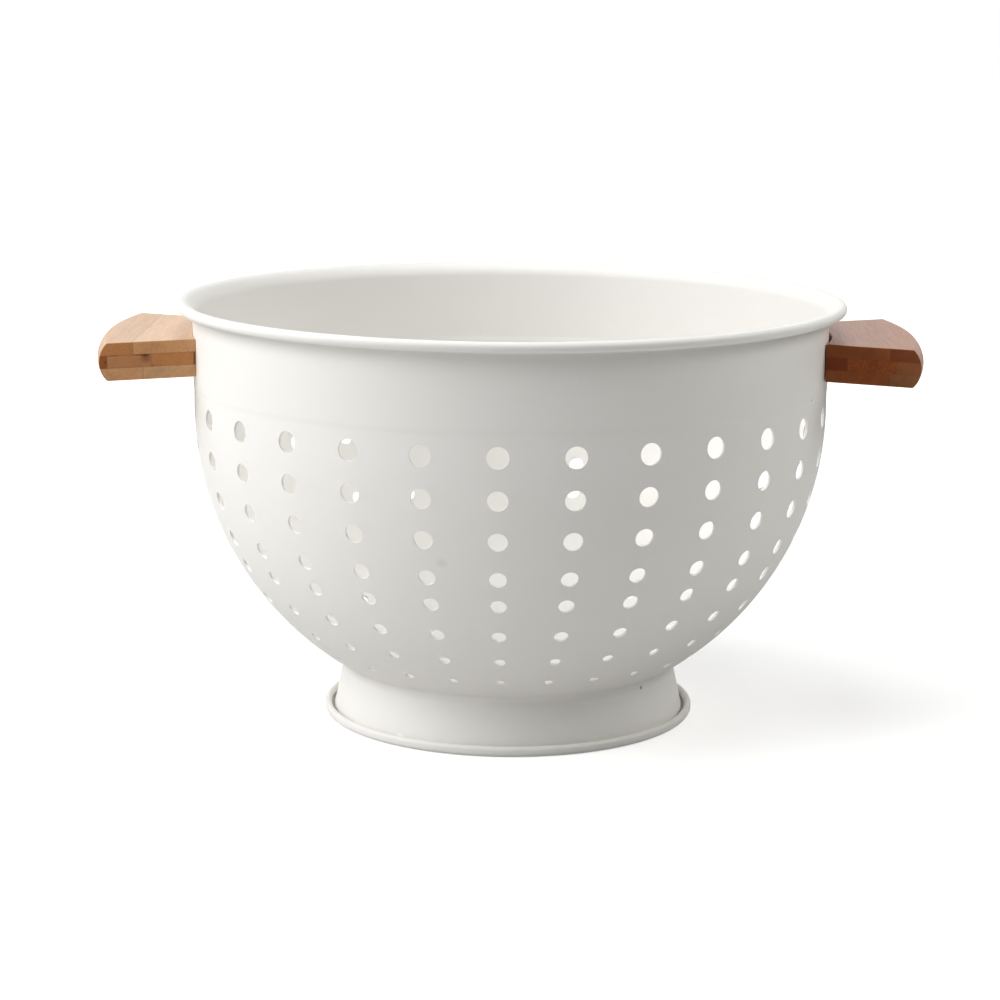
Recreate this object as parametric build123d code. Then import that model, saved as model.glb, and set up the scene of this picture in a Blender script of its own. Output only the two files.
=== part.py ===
from build123d import *
import math
import os

os.makedirs("parts", exist_ok=True)

# Colander: a pressed sheet-steel bowl with a rolled rim on a welded foot ring, and two bamboo
# handles screwed on from inside. Millimetres, Z up, the table at zero, the handles along X.

# Bowl, sizes over the outside of the sheet
overall_height = 171.0
sheet = 0.9
rim_diameter = 270.0
rim_roll = 4.0
rim_curl_angle = 230.0
rim_overhang = 6.9
crease_height_share = 0.2093
crease_bend = 30.0
wall_lean = 1.3
bowl_radius = 124.5
base_bend = 20.0
base_start_angle = 70.5
base_clearance = 9.5

# Holes of the bowl wall, in two bands of rows from the top down
holes_per_row = 28
hole_turn = -1.45
rows_per_band = 4
row_pitch_share = 0.13012
band_pitch_share = 0.1012
row_hole_diameters = [8.4, 7.8, 7.4, 6.6, 6.1, 5.5, 4.4, 3.4]

# Holes of the flat base, in rings
base_rings = 3
base_ring_pitch_share = 0.3138
base_holes_per_ring = 7
base_hole = 3.4

# Foot ring
foot_spread = 37.7
foot_sheet = 0.9
foot_lean = 11.8
foot_bend = 1.5
foot_flange = 9.0
seat_inset = 11.45
lip_height = 4.1
lip_gap = 0.9
lip_tuck = 0.9
slot_width = 1.8
weld_clearance = 0.1

# Handles
handle_drop = 13.7
handle_thickness = 15.0
handle_depth = 33.95
handle_corner_setback = 5.3
handle_corner_spread = 47.0
handle_root_spread = 32.9
handle_bulge = 3.2
handle_edge = 0.4
root_gap = 0.35
middle_gap = 1.25

# Glue lines of each ply, from the top ply down, as shares of the handle's depth off the wall
ply_names = ["top", "middle", "bottom"]
left_glue_line_shares = [[0.562], [0.368, 0.842], [0.456]]
right_glue_line_shares = [[0.591], [0.127, 0.656], [0.59]]

# Screws and washers
screw_spread = 9.0
screw_diameter = 3.5
screw_length = 20.0
screw_point = 4.0
head_diameter = 8.0
head_height = 2.6
head_side = 1.7
washer_diameter = 9.0
washer_thickness = 0.8
hole_clearance = 0.35
pilot_clearance = 0.1
seat_clearance = 0.05

cut_overrun = 2.0

# Places that follow from the sizes
wall_radius = rim_diameter / 2 - rim_overhang
row_pitch = row_pitch_share * bowl_radius
band_pitch = band_pitch_share * bowl_radius
ply = handle_thickness / len(ply_names)
handle_top = overall_height - handle_drop
handle_bottom = handle_top - handle_thickness
handle_reach = wall_radius + handle_depth
handle_corner_reach = handle_reach - handle_corner_setback
screw_z = handle_bottom + handle_thickness / 2


def straight(length):
    return ("straight", length, 0)


def bend(radius, turn):
    return ("bend", radius, turn)


def bent_sheet(start, heading, steps, thickness):
    """Section of a bent sheet in XZ. Its middle line runs from start through straight lengths and
    bends, each with its middle radius and its turn in degrees, positive to the left."""
    spot = Vector(*start)
    half = thickness / 2
    left_side = []
    right_side = []
    with BuildSketch() as section:
        with BuildLine():
            for kind, size, turn in steps:
                ahead = Vector(1, 0).rotate(Axis.Z, heading)
                leftward = Vector(0, 1).rotate(Axis.Z, heading)
                if kind == "straight":
                    goal = spot + ahead * size
                    left_side.append(Line(spot + leftward * half, goal + leftward * half))
                    right_side.append(Line(spot - leftward * half, goal - leftward * half))
                else:
                    side = math.copysign(1, turn)
                    centre = spot + leftward * (side * size)
                    begin = heading - side * 90
                    left_side.append(CenterArc(centre, size - side * half, begin, turn))
                    right_side.append(CenterArc(centre, size + side * half, begin, turn))
                    goal = centre + (spot - centre).rotate(Axis.Z, turn)
                    heading += turn
                spot = goal
            Line(left_side[0] @ 0, right_side[0] @ 0)
            Line(left_side[-1] @ 1, right_side[-1] @ 1)
        make_face()
    return Plane.XZ * section.sketch


def crossing(first, first_heading, second, second_heading):
    """Point where a line through first meets a line through second."""
    ahead = Vector(1, 0).rotate(Axis.Z, first_heading)
    across = Vector(0, 1).rotate(Axis.Z, second_heading)
    return first + ahead * ((second - first).dot(across) / ahead.dot(across))


# Bowl geometry: the round part is an arc whose centre stands a little off the axis
base_rise = (bowl_radius - base_bend) * math.sin(math.radians(base_start_angle))
bowl_centre_z = base_clearance + base_bend + base_rise
lean_top_z = bowl_centre_z + (overall_height - bowl_centre_z) * crease_height_share
round_top_z = bowl_centre_z - bowl_radius * math.sin(math.radians(wall_lean))
lean_inset = (lean_top_z - round_top_z) * math.tan(math.radians(wall_lean))
bowl_centre_x = wall_radius - lean_inset - bowl_radius * math.cos(math.radians(wall_lean))
base_reach = bowl_centre_x + (bowl_radius - base_bend) * math.cos(math.radians(base_start_angle))
foot_radius = base_reach + foot_spread


def wall_reach(z):
    """Outside reach of the bowl's wall at a height, from the crease down to the round part."""
    if z >= lean_top_z:
        return wall_radius
    if z >= round_top_z:
        return wall_radius - (lean_top_z - z) * math.tan(math.radians(wall_lean))
    return bowl_centre_x + math.sqrt(bowl_radius**2 - (bowl_centre_z - z) ** 2)


def bowl_section():
    half = sheet / 2
    roll_reach = (rim_diameter - rim_roll) / 2
    flare_inside = roll_reach - wall_radius
    flare_top = flare_inside + sheet
    crease_length = 2 * crease_bend * math.tan(math.radians(wall_lean / 2))
    wall_length = overall_height - lean_top_z - flare_top - crease_length / 2
    lean_length = (lean_top_z - round_top_z) / math.cos(math.radians(wall_lean)) - crease_length / 2
    start = (0, base_clearance + half)
    steps = [
        straight(base_reach),
        bend(base_bend - half, 90 - base_start_angle),
        bend(bowl_radius - half, base_start_angle - wall_lean),
        straight(lean_length),
        bend(crease_bend - half, wall_lean),
        straight(wall_length),
        bend(flare_inside + half, -90),
        bend(rim_roll / 2 - half, -rim_curl_angle),
    ]
    return bent_sheet(start, 0, steps, sheet)


def on_bowl(arc_length):
    """Plane on the outside of the bowl, facing out, at a distance along the arc from its level."""
    angle = arc_length / bowl_radius
    outward = Vector(math.cos(angle), 0, -math.sin(angle))
    centre = Vector(bowl_centre_x, 0, bowl_centre_z)
    return Plane(origin=centre + outward * bowl_radius, x_dir=(0, 1, 0), z_dir=outward)


def wall_hole_cutters():
    cutters = []
    arc_length = 0
    for row, diameter in enumerate(row_hole_diameters):
        if row:
            arc_length += band_pitch if row % rows_per_band == 0 else row_pitch
        cutter = extrude(on_bowl(arc_length) * Circle(diameter / 2), sheet + cut_overrun, both=True)
        for column in range(holes_per_row):
            around = hole_turn - 90 + column * 360 / holes_per_row
            cutters.append(cutter.rotate(Axis.Z, around))
    return cutters


def base_hole_cutters():
    cutters = []
    for ring in range(1, base_rings + 1):
        count = ring * base_holes_per_ring
        spots = PolarLocations(ring * base_reach * base_ring_pitch_share, count, start_angle=hole_turn - 90)
        holes = Pos(0, 0, base_clearance) * spots * Circle(base_hole / 2)
        cutters += [extrude(hole, sheet + cut_overrun, both=True) for hole in holes]
    return cutters


def screw_axis(side, hand):
    """Plane on the axis of the colander at a screw, facing out along the screw."""
    around = side * screw_spread + (180 if hand < 0 else 0)
    outward = Vector(1, 0, 0).rotate(Axis.Z, around)
    return Plane(origin=(0, 0, screw_z), x_dir=(0, 0, 1), z_dir=outward)


def drills(hand, radius, reach):
    """Cutters along a handle's two screws, from halfway to the wall out to a reach."""
    begin = wall_radius / 2
    hole = Pos(0, 0, begin) * Circle(radius)
    return [extrude(screw_axis(side, hand) * hole, reach - begin) for side in (-1, 1)]


def make_bowl():
    shell = revolve(bowl_section(), Axis.Z)
    screw_hole = screw_diameter / 2 + hole_clearance
    cutters = wall_hole_cutters() + base_hole_cutters()
    for hand in (-1, 1):
        cutters += drills(hand, screw_hole, wall_radius + cut_overrun)
    return shell - cutters


def make_foot_ring():
    half = foot_sheet / 2
    fold = (lip_gap + foot_sheet) / 2
    outer_leg = foot_radius - half
    inner_leg = outer_leg - 2 * fold
    fold_z = lip_height - half - fold
    # The cone, from the slot inside the lip up to the flange that lies under the bowl
    cone_turn = 90 - foot_lean
    cone_reach = inner_leg - half - slot_width - half / math.cos(math.radians(foot_lean))
    cone_spot = Vector(cone_reach, lip_height)
    cone_heading = 90 + foot_lean
    web_spot = Vector(0, half)
    toe = crossing(cone_spot, cone_heading, web_spot, 0)
    seat_offset = foot_radius - seat_inset - bowl_centre_x
    seat_angle = math.degrees(math.acos(seat_offset / bowl_radius))
    seat_reach = bowl_radius + weld_clearance + half
    seat_out = Vector(1, 0).rotate(Axis.Z, -seat_angle)
    seat_spot = Vector(bowl_centre_x, bowl_centre_z) + seat_out * seat_reach
    flange_heading = 270 - seat_angle
    heel = crossing(cone_spot, cone_heading, seat_spot, flange_heading)
    heel_turn = flange_heading - cone_heading
    toe_setback = foot_bend * math.tan(math.radians(cone_turn / 2))
    heel_setback = foot_bend * math.tan(math.radians(heel_turn / 2))
    web_length = outer_leg - foot_bend - (toe.X + toe_setback)
    steps = [
        straight(lip_tuck),
        bend(fold, -180),
        straight(fold_z - half - foot_bend),
        bend(foot_bend, -90),
        straight(web_length),
        bend(foot_bend, -cone_turn),
        straight((heel - toe).length - toe_setback - heel_setback),
        bend(foot_bend, heel_turn),
        straight(foot_flange - heel_setback),
    ]
    section = bent_sheet((inner_leg, fold_z - lip_tuck), 90, steps, foot_sheet)
    return revolve(section, Axis.Z)


def handle_outline():
    """Plan of a handle: a flared block with a hollow inner side that clears the bowl's wall."""
    root_wall = math.sqrt(wall_radius**2 - handle_root_spread**2)
    root = (root_wall + root_gap, handle_root_spread)
    corner = Vector(handle_corner_reach, handle_corner_spread)
    flare = (corner - Vector(*root)).normalized()
    tip = corner + flare * ((handle_reach + handle_bulge + cut_overrun - corner.X) / flare.X)
    with BuildSketch() as plan:
        with BuildLine():
            ThreePointArc((root[0], -root[1]), (wall_radius + middle_gap, 0), root)
            Polyline(root, tip, (tip.X, -tip.Y), (root[0], -root[1]))
        make_face()
    return plan.sketch


def handle_edge_ring():
    """The handle's outer side is a barrel-shaped edge turned about the centre of its plan arc."""
    rise = handle_reach - handle_corner_reach
    plan_radius = (handle_corner_spread**2 + rise**2) / (2 * rise)
    centre_x = handle_reach - plan_radius
    half = handle_thickness / 2
    inner = plan_radius - handle_depth - handle_corner_spread
    with BuildSketch() as section:
        with BuildLine():
            ThreePointArc((plan_radius, -half), (plan_radius + handle_bulge, 0), (plan_radius, half))
            Polyline((plan_radius, half), (inner, half), (inner, -half), (plan_radius, -half))
        make_face()
    ring = revolve(Plane.XZ * section.sketch, Axis.Z)
    return Pos(centre_x, 0, handle_bottom + half) * ring


def make_handle_block():
    prism = extrude(Pos(0, 0, handle_bottom) * handle_outline(), handle_thickness)
    block = prism & handle_edge_ring()
    top_edges = block.faces().sort_by(Axis.Z)[-1].edges()
    bottom_edges = block.faces().sort_by(Axis.Z)[0].edges()
    block = fillet(top_edges + bottom_edges, handle_edge)
    pilot_end = head_seat() + screw_length + pilot_clearance
    return block - drills(1, screw_diameter / 2 + pilot_clearance, pilot_end)


def washer_seat():
    """Distance from the axis at which a flat washer meets the hollow inner side of the wall."""
    inner = wall_reach(screw_z - washer_diameter / 2) - sheet
    return math.sqrt(inner**2 - (washer_diameter / 2) ** 2) - seat_clearance


def head_seat():
    return washer_seat() - washer_thickness - seat_clearance


def glued_strips(block, glue_line_shares, name):
    """Strips of a handle, ply by ply from the top, and in each ply from the bowl outwards."""
    strips = {}
    for count, (level, shares) in enumerate(zip(ply_names, glue_line_shares)):
        ply_top = Plane(origin=(0, 0, handle_top - count * ply))
        ply_bottom = ply_top.offset(-ply)
        rest = split(split(block, ply_top, keep=Keep.BOTTOM), ply_bottom, keep=Keep.TOP)
        for number, share in enumerate(shares, 1):
            glue = Plane(origin=(wall_radius + share * handle_depth, 0, 0), z_dir=(1, 0, 0))
            strips[f"{name}_handle_{level}_strip_{number}"] = split(rest, glue, keep=Keep.BOTTOM)
            rest = split(rest, glue, keep=Keep.TOP)
        strips[f"{name}_handle_{level}_strip_{len(shares) + 1}"] = rest
    return strips


def make_screw(plane):
    """A pan-head screw along its plane's normal, with its head inside the bowl."""
    core = screw_diameter / 2
    head = head_diameter / 2
    with BuildSketch() as section:
        with BuildLine():
            TangentArc((0, -head_height), (head, -head_side), tangent=(1, 0))
            Polyline(
                (head, -head_side),
                (head, 0),
                (core, 0),
                (core, screw_length - screw_point),
                (0, screw_length),
                (0, -head_height),
            )
        make_face()
    screw = revolve(Plane.XZ * section.sketch, Axis.Z)
    return plane * Pos(0, 0, head_seat()) * screw


def make_washer(plane):
    ring = Circle(washer_diameter / 2) - Circle(screw_diameter / 2 + hole_clearance)
    return plane * Pos(0, 0, washer_seat() - washer_thickness) * extrude(ring, washer_thickness)


nodes = {"bowl": make_bowl(), "foot_ring": make_foot_ring()}
block = make_handle_block()
nodes.update(glued_strips(block, right_glue_line_shares, "right"))
left_strips = glued_strips(block, left_glue_line_shares, "left")
nodes.update({name: strip.rotate(Axis.Z, 180) for name, strip in left_strips.items()})

for hand, hand_name in ((1, "right"), (-1, "left")):
    for side, side_name in ((-1, "front"), (1, "back")):
        plane = screw_axis(side * hand, hand)
        nodes[f"{hand_name}_{side_name}_screw"] = make_screw(plane)
        nodes[f"{hand_name}_{side_name}_washer"] = make_washer(plane)

for name, solid in nodes.items():
    solid.label = name
    export_step(solid, f"parts/{name}.step")
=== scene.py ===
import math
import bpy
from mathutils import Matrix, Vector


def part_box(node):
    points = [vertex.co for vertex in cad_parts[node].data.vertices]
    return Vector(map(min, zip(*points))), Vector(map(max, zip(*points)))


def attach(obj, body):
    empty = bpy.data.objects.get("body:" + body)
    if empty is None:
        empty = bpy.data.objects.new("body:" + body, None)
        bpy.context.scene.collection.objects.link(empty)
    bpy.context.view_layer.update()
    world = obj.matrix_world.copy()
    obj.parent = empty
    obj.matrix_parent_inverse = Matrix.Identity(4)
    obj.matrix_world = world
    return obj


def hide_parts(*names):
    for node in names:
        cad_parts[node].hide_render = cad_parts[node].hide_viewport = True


bl_info = {
    "name": "Colander with bamboo handles",
    "version": (1, 0, 0),
    "blender": (4, 5, 0),
    "location": "View3D > Sidebar > Colander",
    "description": "Perforated steel bowl on a foot ring, with two laminated bamboo handles",
    "category": "Add Mesh",
}

import bmesh
import bpy
from mathutils import Matrix, Vector

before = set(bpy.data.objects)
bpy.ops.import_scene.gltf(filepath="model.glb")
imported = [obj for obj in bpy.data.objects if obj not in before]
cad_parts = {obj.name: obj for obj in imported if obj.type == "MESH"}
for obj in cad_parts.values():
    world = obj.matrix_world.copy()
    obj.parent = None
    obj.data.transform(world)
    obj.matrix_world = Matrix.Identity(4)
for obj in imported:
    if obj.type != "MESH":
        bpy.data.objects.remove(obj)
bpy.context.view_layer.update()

BODY = "root"
bowl_low, bowl_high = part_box("bowl")
foot_low, foot_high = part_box("foot_ring")
rim_height = bowl_high.z
MERGE = 0.000005  # Points closer than this become one


# Properties that a user would change

def length(name, description, default):
    return bpy.props.FloatProperty(
        name=name, description=description, default=default, unit="LENGTH", precision=5
    )


def angle(name, description, degrees):
    return bpy.props.FloatProperty(
        name=name, description=description, default=math.radians(degrees), unit="ROTATION"
    )


def colour(name, description, default):
    return bpy.props.FloatVectorProperty(
        name=name, description=description, default=default, size=3, subtype="COLOR", min=0, max=1
    )


def whole(name, description, default):
    return bpy.props.IntProperty(name=name, description=description, default=default, min=1)


def factor(name, description, default):
    return bpy.props.FloatProperty(
        name=name, description=description, default=default, min=0, max=1, subtype="FACTOR"
    )


class ColanderBowl(bpy.types.PropertyGroup):
    sheet: length("Sheet", "Thickness of the steel sheet with its coating", 0.0009)
    rim_diameter: length("Rim", "Diameter over the rolled rim", bowl_high.x - bowl_low.x)
    rim_roll: length("Rim roll", "Diameter of the roll", 0.004)
    rim_curl: angle("Rim curl", "How far the roll turns after the flare", 230)
    wall: length("Wall", "Diameter over the straight wall", 0.2562)
    crease_drop: length("Crease", "Depth below the rim of the faint step in the wall", 0.0342)
    crease_bend: length("Crease bend", "Middle radius of the two bends of the step", 0.0096)
    crease_turn: angle("Crease turn", "How far the wall leans out in the middle of the step", 9)
    round_radius: length("Round part", "Outside radius of the bowl's round part", 0.1245)
    round_drop: length("Round centre", "Depth below the rim of the round part's centre", 0.043)
    base_bend: length("Base bend", "Outside radius of the bend into the flat base", 0.02)
    holes_per_row: whole("Holes per row", "Number of holes in each row", 28)
    hole_turn: angle("Pattern turn", "Turn of the hole pattern from the front", -1.45)
    rows_per_band: whole("Rows per band", "Rows of holes in each of the two bands", 4)
    row_pitch: length("Row pitch", "Distance between rows along the wall", 0.0162)
    band_pitch: length("Band pitch", "Distance between the last row of a band and the next", 0.0126)
    row_holes: bpy.props.FloatVectorProperty(
        name="Row holes",
        description="Diameter of the holes in each row, from the top down",
        default=(0.0084, 0.0078, 0.0074, 0.0066, 0.0061, 0.0055, 0.0044, 0.0034),
        size=8,
        unit="LENGTH",
        precision=5,
    )
    base_rings: whole("Base rings", "Rings of holes in the flat base", 3)
    base_pitch: length("Base pitch", "Distance between the rings of the base", 0.012)
    base_holes: whole("Base holes", "Holes in the innermost ring", 7)
    base_hole: length("Base hole", "Diameter of the holes in the base", 0.0034)
    edge_round: length("Edge rounding", "Radius that the coating leaves on cut edges", 0.00014)
    coat: colour("Coat", "Colour of the powder coat", (0.872, 0.856, 0.822))


class ColanderFoot(bpy.types.PropertyGroup):
    diameter: length("Foot", "Diameter over the folded lip", foot_high.x - foot_low.x)
    lean: angle("Cone", "Lean of the cone", 11.8)
    bend: length("Bends", "Middle radius of the bends", 0.0015)
    flange: length("Flange", "Width of the flange under the bowl", 0.009)
    seat: length("Seat", "Diameter at which the flange meets the bowl", 0.129)
    lip_height: length("Lip height", "Height of the folded lip", 0.0041)
    lip_gap: length("Lip gap", "Gap inside the fold", 0.0009)
    lip_tuck: length("Lip tuck", "Length of the edge that is folded in", 0.0009)
    slot: length("Slot", "Width of the slot between cone and lip", 0.0018)
    weld_gap: length("Weld gap", "Gap between flange and bowl", 0.0001)
    fillet: length("Fillet", "Radius of the coating in the corner between foot and bowl", 0.004)


class ColanderHandles(bpy.types.PropertyGroup):
    drop: length("Drop", "Depth of the handles' top below the rim", 0.0137)
    thickness: length("Thickness", "Thickness of the three plies together", 0.015)
    depth: length("Depth", "How far the top outer edge stands off the wall, in the middle", 0.03395)
    corner_setback: length("Corner setback", "How far the top outer corners stand back", 0.0053)
    corner_spread: length("Corner spread", "Distance to the top outer corner along Y", 0.047)
    root_spread: length("Root spread", "Half width of the handle at the bowl", 0.0329)
    bulge: length("Bulge", "How far the outer side stands out at mid height", 0.0032)
    root_gap: length("Root gap", "Gap at the right handle's inner corners", 0.00035)
    middle_gap: length("Middle gap", "Gap behind the middle of the right handle", 0.00125)
    left_root_gap: length("Left root gap", "Gap at the left handle's inner corners", 0.00006)
    left_middle_gap: length("Left middle gap", "Gap behind the middle of the left handle", 0.0001)
    edge_round: length("Edge rounding", "Width of the eased edges", 0.0004)
    glue_line: length("Glue line", "Width of the darker line along a glued joint", 0.0002)


class ColanderHardware(bpy.types.PropertyGroup):
    spread: angle("Spread", "Angle between each screw and the middle of the handle", 9)
    drop: length("Drop", "Depth of the screws below the rim", 0.0212)
    core: length("Core", "Diameter of the screws' core", 0.0025)
    thread: length("Thread", "Diameter over the thread", 0.0035)
    thread_pitch: length("Pitch", "Pitch of the thread", 0.0014)
    pilot: length("Pilot hole", "Diameter of the holes in the bamboo", 0.0036)
    screw: length("Screw", "Length under the head", 0.02)
    point: length("Point", "Length of the screw's point", 0.004)
    head: length("Head", "Diameter of the pan head", 0.008)
    head_height: length("Head height", "Height of the pan head", 0.0026)
    head_side: length("Head side", "Height of the head's side", 0.0013)
    washer: length("Washer", "Diameter of the washers", 0.009)
    washer_bore: length("Washer bore", "Diameter of the washers' bore", 0.0042)
    washer_thickness: length("Washer thickness", "Thickness of the washers", 0.0008)
    seat_gap: length("Seat gap", "Gap between seated faces", 0.00005)
    plate: colour("Plate", "Colour of the zinc plate", (0.62, 0.62, 0.61))


class ColanderStage(bpy.types.PropertyGroup):
    distance: length("Distance", "Camera distance from its aim point", 1.08846)
    elevation: angle("Elevation", "Camera height above the horizon", 11.308)
    azimuth: angle("Azimuth", "Camera turn from the front towards the right", 0.688)
    roll: angle("Roll", "Camera roll", 0.395)
    lens: bpy.props.FloatProperty(
        name="Lens", description="Focal length", default=95.42, unit="CAMERA"
    )
    aim_height: length("Aim height", "Height of the aim point", 0.08719)
    aim_side: length("Aim side", "Aim point's distance right of the axis", -0.00387)
    lamp_distance: length("Lamp distance", "Distance of the lamps from the colander's middle", 1.7)
    lamp_side: length("Lamp side", "Side of the square lamps", 0.8)
    floor: colour("Floor", "Colour of the floor", (0.64, 0.632, 0.622))
    floor_lift: factor("Floor lift", "White that the floor adds of its own by the colander", 0.6)
    white_from: length("White from", "Distance at which the floor begins to turn all white", 0.35)
    white_at: length("White at", "Distance at which the floor is all white", 0.9)
    mirrored: factor("Mirrored", "White that the floor adds of its own in reflections", 0.3)


# Helpers for modelling as by hand

def clear_selection():
    if bpy.context.object and bpy.context.object.mode != "OBJECT":
        bpy.ops.object.mode_set(mode="OBJECT")
    bpy.ops.object.select_all(action="DESELECT")


def named(name):
    """Names the piece just added and puts its place into its mesh."""
    piece = bpy.context.object
    piece.name = piece.data.name = name
    bpy.ops.object.transform_apply(location=True, rotation=True, scale=True)
    return piece


def select_only(*pieces):
    clear_selection()
    for piece in pieces:
        piece.select_set(True)
    bpy.context.view_layer.objects.active = pieces[0]


def join(name, pieces):
    select_only(*pieces)
    bpy.ops.object.join()
    piece = bpy.context.object
    piece.name = piece.data.name = name
    return piece


def copy_of(piece, name):
    select_only(piece)
    bpy.ops.object.duplicate()
    copy = bpy.context.object
    copy.name = copy.data.name = name
    return copy


def open_edit(piece, mode="VERT"):
    select_only(piece)
    bpy.ops.object.mode_set(mode="EDIT")
    bpy.ops.mesh.select_mode(type=mode)
    bpy.ops.mesh.select_all(action="SELECT")


def close_edit():
    bpy.ops.object.mode_set(mode="OBJECT")


def apply_modifier(piece, kind, **values):
    select_only(piece)
    modifier = piece.modifiers.new(kind.title(), kind)
    for key, value in values.items():
        setattr(modifier, key, value)
    bpy.ops.object.modifier_apply(modifier=modifier.name)


def thicken(piece, sheet):
    """Gives a sheet's middle surface its thickness."""
    apply_modifier(
        piece, "SOLIDIFY", thickness=sheet, offset=0, use_even_offset=True, use_rim=True
    )


def ease_edges(piece, width, segments=2, degrees=50):
    """Rounds the edges that turn by more than some degrees."""
    limit = {"limit_method": "ANGLE", "angle_limit": math.radians(degrees)}
    apply_modifier(piece, "BEVEL", width=width, segments=segments, **limit)


def merge_and_face_out(piece):
    open_edit(piece)
    bpy.ops.mesh.remove_doubles(threshold=MERGE)
    bpy.ops.mesh.normals_make_consistent(inside=False)
    close_edit()


def smooth(piece, degrees=40):
    select_only(piece)
    bpy.ops.object.shade_smooth_by_angle(angle=math.radians(degrees))
    apply_modifier(piece, "WEIGHTED_NORMAL", keep_sharp=True)


def cover(piece, material):
    piece.data.materials.clear()
    piece.data.materials.append(material)


def place(piece, matrix):
    piece.matrix_world = matrix
    select_only(piece)
    bpy.ops.object.transform_apply(location=True, rotation=True, scale=True)


def run(size, turn=0, cuts=1):
    """One stretch of a bent sheet: a length, or a bend's middle radius, turn and cuts."""
    return size, turn, cuts


def sheet_line(start, heading, stretches):
    """Points of a bent sheet's middle line, as reach and height, turns positive to the left."""
    spot = Vector(start)
    points = [spot.copy()]
    for size, turn, cuts in stretches:
        ahead = Vector((math.cos(heading), math.sin(heading)))
        if not turn:
            spot = spot + ahead * size
            points.append(spot.copy())
            continue
        side = math.copysign(1, turn)
        centre = spot + Vector((-ahead.y, ahead.x)) * (side * size)
        spoke = spot - centre
        for cut in range(1, cuts + 1):
            points.append(centre + Matrix.Rotation(turn * cut / cuts, 2) @ spoke)
        spot = points[-1]
        heading += turn
    return points


def lathe(name, outline, steps):
    """A circle that is drawn out ring by ring along an outline of reach and height."""
    clear_selection()
    first = outline[0]
    bpy.ops.mesh.primitive_circle_add(vertices=steps, radius=first.x, location=(0, 0, first.y))
    piece = named(name)
    open_edit(piece, "EDGE")
    for here, there in zip(outline, outline[1:]):
        bpy.ops.mesh.extrude_edges_move(
            TRANSFORM_OT_translate={"value": (0, 0, there.y - here.y)}
        )
        grow = there.x / here.x
        bpy.ops.transform.resize(value=(grow, grow, 1), center_override=(0, 0, there.y))
    close_edit()
    return piece


def fill_rings(piece, heights, tolerance=0.00001):
    """Closes the open rings of edges that lie at the given heights."""
    open_edit(piece, "EDGE")
    for height in heights:
        mesh = bmesh.from_edit_mesh(piece.data)
        for edge in mesh.edges:
            edge.select_set(all(abs(v.co.z - height) < tolerance for v in edge.verts))
        bmesh.update_edit_mesh(piece.data)
        bpy.ops.mesh.edge_face_add()
    close_edit()


# Bowl

class BowlForm:
    """Middle surface of the bowl, worked out from its outside sizes."""

    def __init__(self, sizes):
        self.sizes = sizes
        half = sizes.sheet / 2
        self.half = half
        turn = sizes.crease_turn
        step = 2 * sizes.crease_bend * (1 - math.cos(turn))
        self.crease_rise = 2 * sizes.crease_bend * math.sin(turn)
        self.crease_foot = rim_height - sizes.crease_drop - self.crease_rise / 2
        self.centre_x = sizes.wall / 2 - step - sizes.round_radius
        self.centre_z = rim_height - sizes.round_drop
        self.round_middle = sizes.round_radius - half
        rise = self.centre_z - bowl_low.z - sizes.base_bend
        self.base_angle = math.asin(rise / (sizes.round_radius - sizes.base_bend))

    def point(self, along):
        """Reach and height at a distance down the wall from the round part's centre level."""
        turn = max(along / self.sizes.round_radius, 0)
        reach = self.centre_x + self.round_middle * math.cos(turn)
        height = self.centre_z - self.round_middle * math.sin(turn)
        return Vector((reach, height + max(-along, 0)))

    def rows(self):
        """Place of each row of holes, with the seams above and below it."""
        sizes = self.sizes
        gaps = [
            sizes.band_pitch if row % sizes.rows_per_band == 0 else sizes.row_pitch
            for row in range(1, len(sizes.row_holes))
        ]
        places = [sum(gaps[:row]) for row in range(len(sizes.row_holes))]
        above = [2 * (self.crease_foot - self.centre_z), *gaps]
        below = [*gaps, sizes.row_pitch]
        return [
            (place, place - up / 2, place + down / 2, hole)
            for place, up, down, hole in zip(places, above, below, sizes.row_holes)
        ]


CELL_SIDE = 6
CELL_RING = 4 * CELL_SIDE


def cell_edge(spoke, width, top, bottom):
    """Point of a cell's four-sided seam on the spoke, counted from its top right corner."""
    side, share = divmod(spoke, CELL_SIDE)
    share /= CELL_SIDE
    tall = top + bottom
    corners = [
        (width - 2 * width * share, top),
        (-width, top - tall * share),
        (-width + 2 * width * share, -bottom),
        (width, -bottom + tall * share),
    ]
    return Vector(corners[side])


def hole_cell(form, row):
    """One hole with its share of the wall: rings from the hole's edge out to the cell's seam."""
    place_along, seam_above, seam_below, hole = row
    columns = form.sizes.holes_per_row
    reach = form.point(place_along).x
    width = reach * math.pi / columns
    radius = hole / 2
    clear_selection()
    bpy.ops.mesh.primitive_circle_add(vertices=CELL_RING, radius=radius)
    piece = named("hole_cell")
    open_edit(piece, "EDGE")
    land = 1 + form.sizes.sheet / radius
    # The land round the hole, a ring half way to the seam, and the seam
    for grow in (land, 2, 2):
        bpy.ops.mesh.extrude_edges_move(TRANSFORM_OT_translate={"value": (0, 0, 0)})
        bpy.ops.transform.resize(value=(grow, grow, 1), center_override=(0, 0, 0))
    close_edit()
    rings = sorted({round(v.co.length, 7) for v in piece.data.vertices})
    step = 2 * math.pi / CELL_RING
    first = math.pi / 4
    for vertex in piece.data.vertices:
        spoke = round((math.atan2(vertex.co.y, vertex.co.x) - first) / step) % CELL_RING
        seam = cell_edge(spoke, width, place_along - seam_above, seam_below - place_along)
        flat = Vector((vertex.co.x, vertex.co.y))
        if flat.length > rings[2]:
            flat = seam
        elif flat.length > rings[1] * 1.01:
            flat = (flat.normalized() * radius * land + seam) / 2
        turn = flat.x / reach
        spot = form.point(place_along - flat.y)
        vertex.co = (spot.x * math.sin(turn), -spot.x * math.cos(turn), spot.y)
    return piece


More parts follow.
